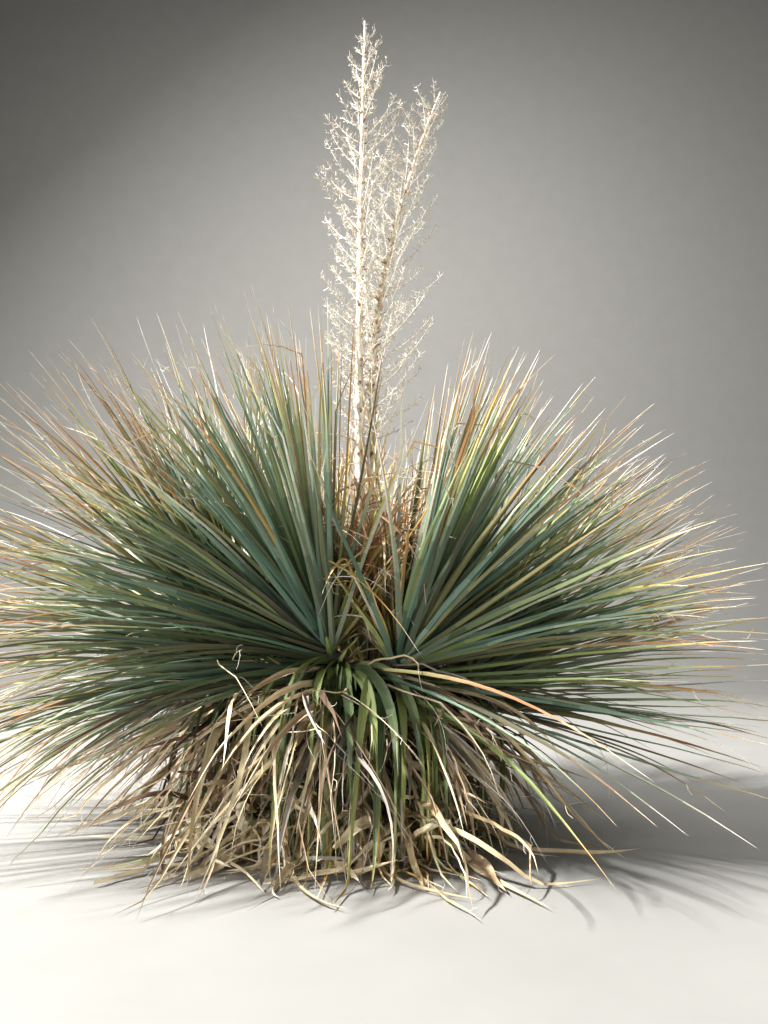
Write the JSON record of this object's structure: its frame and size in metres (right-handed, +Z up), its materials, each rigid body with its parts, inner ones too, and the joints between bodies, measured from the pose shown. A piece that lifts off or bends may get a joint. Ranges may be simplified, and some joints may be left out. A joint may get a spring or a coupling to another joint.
{
  "type": "parry nolina clump with dry flower stalks",
  "caption": "Clump of stiff strap leaves on short woody stems over hanging dead leaves, with tall dry branched flower stalks.",
  "frame": {"origin": "on the flat cut under the root crown, at ground level, below the middle of the plant", "axes": "+Z up along the flower stalks; -Y is the front, the side that the picture shows; +X to the right"},
  "size_m": [3.3101, 2.7115, 3.5001],
  "materials": {
    "bark": "rough grey-brown bark of old leaf bases",
    "green_leaf": "dull blue-green to yellow-green leaves with tan tips",
    "dead_leaf": "dry tan to grey dead leaves",
    "stalk": "bleached dry flower stalk, matt",
    "panicle": "dry straw-coloured flower branches"
  },
  "bodies": {
    "root": {"dead_leaves_back_left": "dead_leaf", "dead_leaves_back_right": "dead_leaf", "dead_leaves_front_left": "dead_leaf", "dead_leaves_front_right": "dead_leaf", "dead_leaves_left": "dead_leaf", "dead_leaves_right": "dead_leaf", "flower_stalk_a": "stalk", "flower_stalk_b": "stalk", "leaves_middle": "green_leaf", "lower_leaves_back_left": "green_leaf", "lower_leaves_back_right": "green_leaf", "lower_leaves_front_left": "green_leaf", "lower_leaves_front_right": "green_leaf", "lower_leaves_left": "green_leaf", "lower_leaves_right": "green_leaf", "panicle_a_1": "panicle", "panicle_a_10": "panicle", "panicle_a_11": "panicle", "panicle_a_12": "panicle", "panicle_a_2": "panicle", "panicle_a_3": "panicle", "panicle_a_4": "panicle", "panicle_a_5": "panicle", "panicle_a_6": "panicle", "panicle_a_7": "panicle", "panicle_a_8": "panicle", "panicle_a_9": "panicle", "panicle_b_1": "panicle", "panicle_b_10": "panicle", "panicle_b_2": "panicle", "panicle_b_3": "panicle", "panicle_b_4": "panicle", "panicle_b_5": "panicle", "panicle_b_6": "panicle", "panicle_b_7": "panicle", "panicle_b_8": "panicle", "panicle_b_9": "panicle", "root_crown": "bark", "stem_back_left": "bark", "stem_back_right": "bark", "stem_front_left": "bark", "stem_front_right": "bark", "stem_left": "bark", "stem_middle": "bark", "stem_right": "bark", "upper_leaves_back_left": "green_leaf", "upper_leaves_back_right": "green_leaf", "upper_leaves_front_left": "green_leaf", "upper_leaves_front_right": "green_leaf", "upper_leaves_left": "green_leaf", "upper_leaves_right": "green_leaf"}
  },
  "joints": []
}
